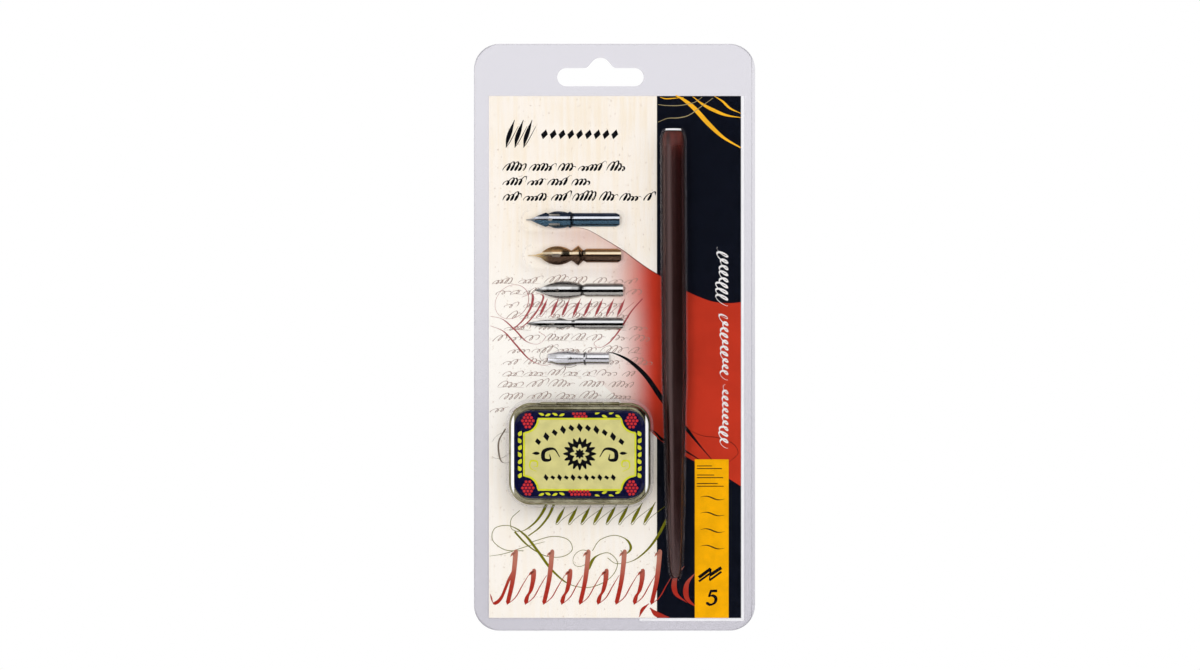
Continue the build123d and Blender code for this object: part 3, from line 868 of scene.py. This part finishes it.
def gothicDrill(settings):
    # a broad pen's drill: one leaning stroke again and again, tall and short by turns, joined by
    # hairlines, then brush crescents
    shapes = []
    broad, angle, foot = settings["half"], settings["angle"], settings["foot"]
    for i, x in enumerate(settings["places"]):
        head = settings["heads"][i % 2]
        down = [(x - 0.2, head + 1.8), (x + 1.5, head), (x + 1.6, head + 3),
                (x + 0.7, (head + foot) / 2 + 1), (x - 0.6, foot - 2.6), (x - 1.4, foot + 0.4)]
        shapes.append(penned(curve(down, 14), broad, 0.12, angle))
        hair = [(x - 1.2, foot + 0.2), (x + 1.8, foot - 2.4), (x + 4.2, foot - 6.6), (x + 6.6, foot - 10.6)]
        shapes.append(swelled(curve(hair, 12), 0.2, 0.1))
    shapes += swelledCurves(settings["crescents"], 16)
    shapes.append(penned(curve(settings["tail"], 16), 0.55, 0.1, 120))
    return shapes + swelledCurves(settings["drops"], 16)


high, low = (card["top"] - down for down in gothic["fade"])
fadedRed = fadedInk("ink_gothic", (0.5, 0.19, 0.13), (0.4, 0.025, 0.014), high, low)
printed("gothic_drill", gothicDrill(gothic), fadedRed, 6)

heading = {
    "pitch": 3.3, "strokesX": 6.4, "strokes": 3, "lozengesX": 20.8, "lozenges": 9, "lozengeY": 14.4,
    "left": 5.3, "rows": [(28.0, 45.5), (33.4, 32.5), (39.2, 55.5)], "group": (5, 9), "gap": 2.1,
}


def headMarks(settings):
    # practice strokes across the head of the card: slanted strokes, lozenges and three rows of loops
    shapes = []
    for i in range(settings["strokes"]):
        x = settings["strokesX"] + settings["pitch"] * i
        shapes += swelledCurves([
            ([(x + 3.2, 9.0), (x + 1.9, 12.6), (x + 0.6, 16.4), (x, 19.4)], 0.8, 0.12),
            ([(x, 19.3), (x + 1.6, 17.0), (x + 4.6, 11.4)], 0.14, 0.08),
        ])
    for i in range(settings["lozenges"]):
        x = settings["lozengesX"] + settings["pitch"] * i
        shapes.append(lozenge(x, settings["lozengeY"], 2.6, 3.7, 0.6))
    for y, length in settings["rows"]:
        x, end = settings["left"], settings["left"] + length
        while x < end - 2:
            group = min(rng.uniform(*settings["group"]), end - x)
            shapes.append(penned(loopRow(x, y, group, 2.8, 1.5, 0.5), 0.27, 0.08, 25))
            x += group + settings["gap"]
    return shapes


printed("head_marks", headMarks(heading), inkOf["black"], 2)

sideRow = {"x": 89.6, "groups": [(57.9, 78.6), (81.6, 106.4), (108.6, 132.0)], "height": 3.5, "pitch": 2.3}


def sideLoops(settings):
    # three groups of slanted loops that climb the navy strip
    shapes = []
    for top, foot in settings["groups"]:
        line = loopRow(0, 0, foot - top - 1, settings["height"], settings["pitch"], 0.5)
        turned = np.stack([settings["x"] + line[:, 1], foot - line[:, 0]], -1)
        shapes.append(penned(turned, 0.34, 0.07, 115))
    return shapes


printed("side_loops", sideLoops(sideRow), inkOf["white"], 6)
print("pen work printed")


# Holder handle

handle = {
    "x": 27.2, "y": -3.9, "z": -20.6, "lean": 0.32, "length": 166.9, "margin": 0.62,
    "bore": 2.53, "boreDeep": 16.5, "nose": 2.8, "noseLong": 4.4, "radius": 4.05, "tip": 1.5,
    "stations": [(4.4, 4.05), (60, 4.05), (92, 3.98), (112, 3.42), (143, 2.86), (161, 2.1), (165.4, 1.5)],
    "around": 72, "crease": 50,
    "shadeHead": [(0.0, 2.9), (1.6, 3.7)], "shadePast": 0.4, "shadeRows": 80,
}


def handleSurface(settings):
    # a turned surface: radius against distance from the nose, carried round the axis
    quarter = np.linspace(0, np.pi / 2, 12)
    nose = np.stack([
        settings["noseLong"] * (1 - np.cos(quarter)),
        settings["nose"] + (settings["radius"] - settings["nose"]) * np.sin(quarter),
    ], -1)
    body = curve(settings["stations"], 26)
    body[:, 1] = np.minimum(body[:, 1], settings["radius"])
    tail = np.stack([
        settings["length"] - settings["tip"] + settings["tip"] * np.sin(quarter),
        settings["tip"] * np.cos(quarter),
    ], -1)
    hole, deep = settings["bore"], settings["boreDeep"]
    bore = [(deep, 0.001), (deep, hole), (0.15, hole), (0.0, hole + 0.1), (0.0, settings["nose"] - 0.1)]
    profile = np.vstack([bore, nose[1:], body[1:], tail[1:-1], [(settings["length"], 0.001)]])
    around = np.linspace(0, 2 * np.pi, settings["around"], endpoint=False)
    s, r = profile[:, :1], profile[:, 1:]
    lean = np.radians(settings["lean"])
    side = r * np.cos(around)
    x = settings["x"] + side * np.cos(lean) + s * np.sin(lean)
    y = settings["y"] + r * np.sin(around)
    z = settings["z"] + side * np.sin(lean) - s * np.cos(lean)
    points = np.stack([x, np.broadcast_to(y, x.shape), z], -1).reshape(-1, 3) * mm
    return points, gridFaces(len(profile), settings["around"], closed=True)[:, ::-1]


def contactShade(settings):
    # a painted shadow beside the holder on the card: the turned outline plus a margin
    past = settings["shadePast"]
    s = np.linspace(-past, settings["length"] + past, settings["shadeRows"])
    stations = np.array(settings["shadeHead"] + settings["stations"])
    half = np.interp(s, stations[:, 0], stations[:, 1]) + settings["margin"]
    axis = settings["x"] + s * np.sin(np.radians(settings["lean"])) - card["left"]
    y = card["top"] - settings["z"] + s
    rows = [np.stack([axis + half * side, y], -1) for side in (-1, -0.92, 0.92, 1)]
    return np.stack(rows, 1).reshape(-1, 2), gridFaces(settings["shadeRows"], 4)


# painted shadow: a dark print on the card along both sides of the holder
shadeInk = inkMaterial("contactShade", (0.014, 0.006, 0.006))
printed("holder_shade", [contactShade(handle)], shadeInk, 9)
points, faces = handleSurface(handle)
piece = newPiece("handle_surface", points, faces, finishes["wood"], "pack", smooth=True)
piece.data.set_sharp_from_angle(angle=np.radians(handle["crease"]))
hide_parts("holder_handle")
print("handle turned")


# Pieces that keep the solids' own surfaces

surfaces = {
    "holder_ferrule": ("pack", "steel", "bright_steel"),
    "holder_prongs": ("pack", "steel", "bright_steel"),
    "tin_base": ("pack", "goldTin", "gold_tin"),
    "tin_hinge_pin": ("pack", "steel", "bright_steel"),
    "nib_blued": ("pack", "blued", "blued_steel"),
    "nib_bronze": ("pack", "bronze", "bronze"),
    "nib_steel": ("pack", "plain", "bright_steel"),
    "nib_slim": ("pack", "slim", "bright_steel"),
    "nib_broad": ("pack", "pale", "bright_steel"),
    "front_shell": ("front", "front", "clear_plastic"),
    "back_shell": ("pack", "back", "clear_plastic"),
}
for node, (body, finish, slotName) in surfaces.items():
    smoothCopy(node, body, finishes[finish])
nodes["insert_card"].data.materials.clear()
nodes["insert_card"].data.materials.append(paperMaterial(paper))
print("solids dressed")


# Tin lid and its print

lidLow, lidHigh = extent("tin_lid")
lid = {
    "x": -7.7, "z": -141.1, "ring": lidLow[1], "panel": lidLow[1] + 0.25, "ink": 0.02,
    "width": 48.8, "height": 32.8, "corner": 6.2, "side": 24.2,
}


def lidMaterial(settings):
    # varnished navy border inside a bare metal edge, by distance from the print's outline, and a painted
    # highlight on the lid's ends
    fixed = {"Coat Weight": 0.2, "Coat Roughness": 0.15, "Specular IOR Level": 0.2,
             "Emission Strength": 1.0}
    material, shader, start = newMaterial("printedTin", fixed)
    spot = place(start)
    radius = settings["corner"]
    x = abs(along(spot, 0) / mm - settings["x"])
    z = abs(along(spot, 2) / mm - settings["z"])
    outX = (x - (settings["width"] / 2 - radius)).most(0.0)
    outZ = (z - (settings["height"] / 2 - radius)).most(0.0)
    away = (outX * outX + outZ * outZ).math("SQRT") - radius
    front = (along(spot, 1) / mm).ease(settings["ring"] + 1.0, settings["ring"] + 0.7)
    ink = away.ease(0.1, -0.1) * front
    wear = noise(spot, 700, 4, 0.7)
    metal = noise(spot, 260, 4, 0.6).ease(0.3, 0.7).blend((0.2, 0.18, 0.1), (0.42, 0.39, 0.26))
    # painted highlight: the metal at the lid's left and right ends is near-white and glows a little
    ends = x.ease(settings["side"], settings["side"] + 0.5)
    ends = ends * (along(spot, 1) / mm).ease(settings["ring"] + 1.6, settings["ring"] + 1.0)
    bright = ends.blend(metal, (0.95, 0.95, 0.92))
    navy = wear.ease(0.3, 0.7).blend((0.002, 0.0025, 0.026), (0.004, 0.005, 0.042))
    feed(shader, "Base Color", ink.blend(bright, navy))
    feed(shader, "Metallic", 1 - ink.most(ends * 0.85))
    feed(shader, "Emission Color", ends.blend((0, 0, 0), (0.22, 0.22, 0.21)))
    feed(shader, "Roughness", wear * 0.12 + 0.15)
    bumped(shader, wear, 0.06, 0.00003)
    return material


smoothCopy("tin_lid", "lid", lidMaterial(lid))


def lidPrint(name, shapes, ink, layer):
    # lid places to metres, in layers as on the card
    points, faces = merged(shapes, 1)
    x = (lid["x"] + points[:, 0]) * mm
    z = (lid["z"] + points[:, 1]) * mm
    y = (lid["panel"] - lid["ink"] * (layer + np.linspace(0, 0.8, len(points)))) * mm
    return newPiece("lid_" + name, np.stack([x, y, z], -1), faces, inkOf[ink], "lid")


def fieldOutline(width, height, notch):
    # a panel whose corners are cut by inward quarter circles, counter-clockwise
    x, y = width / 2, height / 2
    parts = []
    for cx, cy, start in ((x, y, 270), (-x, y, 0), (-x, -y, 90), (x, -y, 180)):
        angle = np.radians(np.linspace(start, start - 90, 14))
        parts.append(np.stack([cx + notch * np.cos(angle), cy + notch * np.sin(angle)], -1))
    return np.vstack(parts)


field = {"width": 41.4, "height": 26.4, "notch": 5.2, "line": 0.36}
outline = fieldOutline(field["width"], field["height"], field["notch"])
lidPrint("field", [outlined(outline[:, 0], outline[:, 1])], "pale", 1)
lidPrint("field_line", [stroke(np.vstack([outline, outline[:1]]), field["line"])], "sun", 2)


wreath = {
    "pitch": 1.32, "berry": 0.57,
    "corner": (19.3, 12.5, 4, 5), "foot": (0, -14.3, 7, 2), "head": (0, 14.6, 5, 2),
    "side": {"x": 22.3, "sway": 0.4, "long": 2.2, "wide": 1.5,
             "rows": (-8.8, -6.2, -3.6, -1.0, 1.6, 4.2, 6.8)},
    "edge": {"y": 14.8, "sway": 0.25, "long": 2.3, "wide": 0.95, "columns": (5.6, 8.2, 10.8, 13.2)},
}


def cluster(settings, x, y, columns, lines):
    # round berries in staggered lines, the middle line longest
    shapes = []
    pitch = settings["pitch"]
    for j in range(lines):
        off = j - (lines - 1) / 2
        count = int(columns - abs(off))
        for i in range(count):
            spot = (i - (count - 1) / 2 + (0.25 if lines == 2 else 0) * (-1) ** j) * pitch
            shapes.append(rosette(x + spot, y + off * pitch * 0.87, settings["berry"], 6, 0.06, i + j))
    return shapes


def berries(settings):
    # the same cluster at all four corners, and one at the foot and the head
    shapes = []
    x, y, columns, lines = settings["corner"]
    for sx in (-1, 1):
        for sy in (-1, 1):
            shapes += cluster(settings, sx * x, sy * y, columns, lines)
    return shapes + cluster(settings, *settings["foot"]) + cluster(settings, *settings["head"])


def leaves(settings):
    # leaves that lean to and fro, up both sides and along the head and the foot
    shapes = []
    side, edge = settings["side"], settings["edge"]
    for sx in (-1, 1):
        for i, y in enumerate(side["rows"]):
            sway = (-1) ** i
            x = sx * (side["x"] + side["sway"] * sway)
            shapes.append(leaf(x, y, side["long"], side["wide"], np.pi / 2 + 0.5 * sx * sway))
        for sy in (-1, 1):
            for i, x in enumerate(edge["columns"]):
                sway = (-1) ** i
                y = sy * (edge["y"] + edge["sway"] * sway)
                shapes.append(leaf(sx * x, y, edge["long"] * sx, edge["wide"], 0.35 * sy * sway))
    return shapes


lidPrint("berries", berries(wreath), "berry", 3)
lidPrint("leaves", leaves(wreath), "sun", 3)

medallion = {
    "y": 0.2,
    "scroll": [(7.4, -1.0), (9.6, 2.0), (13.2, 1.2), (13.4, -1.8), (11.0, -2.0), (11.2, 0.0)],
    "curl": [(16.0, -6.4), (18.4, -5.0), (18.2, -2.6), (16.0, -2.6), (15.8, -4.4), (17.2, -4.4)],
    "above": {"pitch": 3.1, "y": 10.0, "sag": 0.022, "width": 2.3, "heights": (2.6, 3.4), "lean": 0.35},
    "below": {"pitch": 2.5, "y": -8.6, "sag": 0.0, "width": 1.9, "heights": (2.6, 1.7), "lean": 0.3},
}


def mirrored(controls, most, least):
    # one swelled stroke on the left of the lid and its mirror image on the right
    return swelledCurves([([(side * x, y) for x, y in controls], most, least) for side in (-1, 1)])


def markRow(settings):
    # eleven lozenges, of two heights by turns, in a row that may sag to its ends
    shapes = []
    for i in range(11):
        x = (i - 5) * settings["pitch"]
        y = settings["y"] - settings["sag"] * x * x
        shapes.append(lozenge(x, y, settings["width"], settings["heights"][i % 2], settings["lean"]))
    return shapes


def medallionShapes(settings):
    # a sixteen-ray rosette with scrolls beside it and rows of marks above and below
    shapes = [rosette(0, settings["y"], 6.2, 16, 0.14)]
    for side, scroll in zip((-1, 1), mirrored(settings["scroll"], 0.75, 0.14)):
        shapes += [scroll, leaf(14.8 * side, 0.4, 3.0 * side, 1.2, 0)]
    return shapes + markRow(settings["above"]) + markRow(settings["below"])


centre = [rosette(0, medallion["y"], 3.6, 8, 0.2), rosette(0, medallion["y"], 0.5, 4)]
lidPrint("medallion", medallionShapes(medallion), "black", 2)
lidPrint("medallion_centre", centre, "pale", 3)
lidPrint("medallion_heart", [rosette(0, medallion["y"], 1.9, 8, 0.16)], "black", 4)
lidPrint("curls", mirrored(medallion["curl"], 0.34, 0.1), "sun", 2)
print("lid printed")


# Painted shade and highlights along the edges of the clear sheets, which show as darker or brighter lines

packLow, packHigh = extent("back_shell")
edges = {
    "x": (packLow[0] + packHigh[0]) / 2, "z": (packLow[2] + packHigh[2]) / 2,
    "width": packHigh[0] - packLow[0], "height": packHigh[2] - packLow[2],
    "corner": 9.5, "line": 0.2, "front": -0.52, "hinge": 1.3,
}


def edgeMaterial(settings):
    # painted shade along the sheets' cut edge, darkest where the outline turns
    material, shader, start = newMaterial("edgeShade", {"Roughness": 0.4, "Specular IOR Level": 0.2})
    spot = place(start)
    uneven = noise(spot, 120, 3, 0.6)
    x = abs(along(spot, 0) / mm - settings["x"])
    z = abs(along(spot, 2) / mm - settings["z"])
    turning = x.ease(settings["width"] / 2 - 10, settings["width"] / 2 - 3)
    turning = turning * z.ease(settings["height"] / 2 - 11, settings["height"] / 2 - 3)
    feed(shader, "Base Color", uneven.blend((0.26, 0.25, 0.28), (0.34, 0.33, 0.36)))
    feed(shader, "Alpha", turning * 0.5 + uneven * 0.1 + 0.14)
    return material


def edgeLine(settings):
    # a painted shade ribbon just inside the sheets' outline, cut straight beside the hinge
    wide, high = (settings[key] - 2 * settings["line"] for key in ("width", "height"))
    line = roundedOutline(wide, high, settings["corner"], 24)
    line = np.vstack([line, line[:1]])
    line[:, 0] = np.minimum(line[:, 0], settings["width"] / 2 - settings["hinge"])
    flat, faces = stroke(line, settings["line"])
    x = (settings["x"] + flat[:, 0]) * mm
    z = (settings["z"] + flat[:, 1]) * mm
    y = np.full(len(flat), settings["front"] * mm)
    return np.stack([x, y, z], -1), faces[:, ::-1]


points, faces = edgeLine(edges)
newPiece("shell_edge_shade", points, faces, edgeMaterial(edges), "front")

glint = {"gap": 0.15, "wide": 1.0, "front": -0.03, "footFrom": 56.5}


def glintMaterial():
    # painted highlight: the rounded rim of the card's recess catching the light
    material, shader, start = newMaterial("rimGlint", {"Specular IOR Level": 0.3})
    uneven = noise(place(start), 90, 3, 0.6)
    feed(shader, "Base Color", uneven.blend((0.92, 0.92, 0.93), (1.0, 1.0, 1.0)))
    feed(shader, "Alpha", uneven * 0.2 + 0.8)
    feed(shader, "Roughness", uneven * 0.2 + 0.2)
    return material


def glintLine(settings):
    # a painted highlight ribbon down the card's right edge and along the right half of its foot
    x, y = card["width"] + settings["gap"], card["height"] + settings["gap"]
    wide = settings["wide"]
    return [box(x, 0, x + wide, y), box(settings["footFrom"], y, x + wide, y + wide)]


# painted highlight material, shared by the recess ribbon and the channel ribbon
rim = glintMaterial()
points, faces = merged(glintLine(glint), -1)
places = onCard(points, 0)
places[:, 1] = glint["front"] * mm
newPiece("recess_glint", places, faces, rim, "pack")

arch = {"x": 27.2, "y": -3.9, "top": -19.66, "deep": 0.7, "radius": 3.75, "spread": 0.22, "reach": 48}


def archGlint(settings):
    # a painted highlight ribbon over the blunt end of the holder's channel
    angle = np.radians(np.linspace(-settings["reach"], settings["reach"], 25))
    rows = []
    for share in np.linspace(0, 1, 4):
        r = settings["radius"] + settings["spread"] * np.sqrt(share)
        x, y = settings["x"] + r * np.sin(angle), settings["y"] - r * np.cos(angle)
        rows.append(np.stack([x, y, 0 * angle + settings["top"] - settings["deep"] * share], -1))
    return np.vstack(rows) * mm, gridFaces(4, 25)[:, ::-1]


points, faces = archGlint(arch)
newPiece("channel_glint", points, faces, rim, "front", smooth=True)
print("edges drawn")


# Floor, light and camera

studio = {
    "floorZ": -0.46, "floorRadius": 2.0, "floorSides": 96,
    "ambient": 0.745, "dark": 0.014, "under": 0.5, "above": 0.45, "beside": 1.0, "behind": 0.35,
    "target": (0, 0, -0.1),
    "lamps": {
        "keyLamp": {"spot": (-0.74, -1.25, -0.05), "size": (0.24, 1.3), "power": 5.0},
        "fillLamp": {"spot": (0.5, -1.3, 0.7), "size": (0.8, 0.8), "power": 4.5},
    },
    "camera": (-0.00015, -1.25, -0.0967), "lens": 100, "sensor": 36,
}


def makeFloor(settings):
    # a round pale floor of one face
    sides = settings["floorSides"]
    angle = np.linspace(0, 2 * np.pi, sides, endpoint=False)
    rimPoints = np.stack([np.cos(angle), np.sin(angle), 0 * angle], -1) * settings["floorRadius"]
    rimPoints[:, 2] = settings["floorZ"]
    mesh = bpy.data.meshes.new("floor")
    mesh.from_pydata(rimPoints.tolist(), [], [list(range(sides))])
    material, shader, start = newMaterial("floorPale", {"Roughness": 0.7})
    shade = noise(place(start), 3, 2, 0.5)
    feed(shader, "Base Color", shade.blend((0.84, 0.84, 0.85), (0.88, 0.88, 0.89)))
    mesh.materials.append(material)
    floor = bpy.data.objects.new("floor", mesh)
    bpy.context.scene.collection.objects.link(floor)


def makeWorld(settings):
    # white for camera and see-through rays; mirror rays meet grey behind, a soft box overhead,
    # a broad one in front at the left, a paler floor and a dark room elsewhere
    world = bpy.data.worlds.new("studio")
    bpy.context.scene.world = world
    world.use_nodes = True
    start = Wire(world.node_tree)
    ray = start.node("ShaderNodeTexCoord", out="Generated")
    x, y, z = (along(ray, i) for i in range(3))
    over = z.ease(0.06, 0.16) * (1 - z.ease(0.8, 0.9)) * abs(x).ease(0.5, 0.25)
    room = over.most(z.ease(0.8, 0.9) * settings["above"]).most(z.ease(-0.1, -0.4) * settings["under"])
    softBox = x.ease(-0.12, -0.72) * (1 - x.ease(-0.85, -1.0) * 0.6) * settings["beside"]
    room = room.most(y.ease(0.1, 0.5) * settings["behind"]).most(softBox).most(settings["dark"])
    path = start.node("ShaderNodeLightPath", out="Is Camera Ray")
    gloss = Wire(path.tree, path.socket.node.outputs["Is Glossy Ray"])
    through = Wire(path.tree, path.socket.node.outputs["Is Transmission Ray"])
    white = path.most(through)
    strength = white + (1 - white) * (gloss * room + (1 - gloss) * settings["ambient"])
    background = world.node_tree.nodes["Background"]
    background.inputs["Color"].default_value = (1, 1, 1, 1)
    feed(background, "Strength", strength)


def makeLamp(name, target, settings):
    # a rectangular lamp turned to a target and hidden from mirror rays
    data = bpy.data.lights.new(name, "AREA")
    data.shape = "RECTANGLE"
    data.size, data.size_y = settings["size"]
    data.energy = settings["power"]
    lamp = bpy.data.objects.new(name, data)
    lamp.location = settings["spot"]
    direction = np.array(target) - np.array(settings["spot"])
    flat = np.hypot(direction[0], direction[1])
    lamp.rotation_euler = (np.arctan2(flat, -direction[2]), 0, np.arctan2(-direction[0], direction[1]))
    lamp.visible_glossy = False
    bpy.context.scene.collection.objects.link(lamp)


def makeCamera(settings):
    data = bpy.data.cameras.new("camera")
    data.lens = settings["lens"]
    data.sensor_width = settings["sensor"]
    data.clip_start = 0.01
    camera = bpy.data.objects.new("camera", data)
    camera.location = settings["camera"]
    camera.rotation_euler = (np.pi / 2, 0, 0)
    bpy.context.scene.collection.objects.link(camera)
    bpy.context.scene.camera = camera


makeFloor(studio)
makeWorld(studio)
for name, lamp in studio["lamps"].items():
    makeLamp(name, studio["target"], lamp)
makeCamera(studio)
bpy.context.scene.view_settings.view_transform = "Standard"
print("studio set")

bpy.context.view_layer.update()
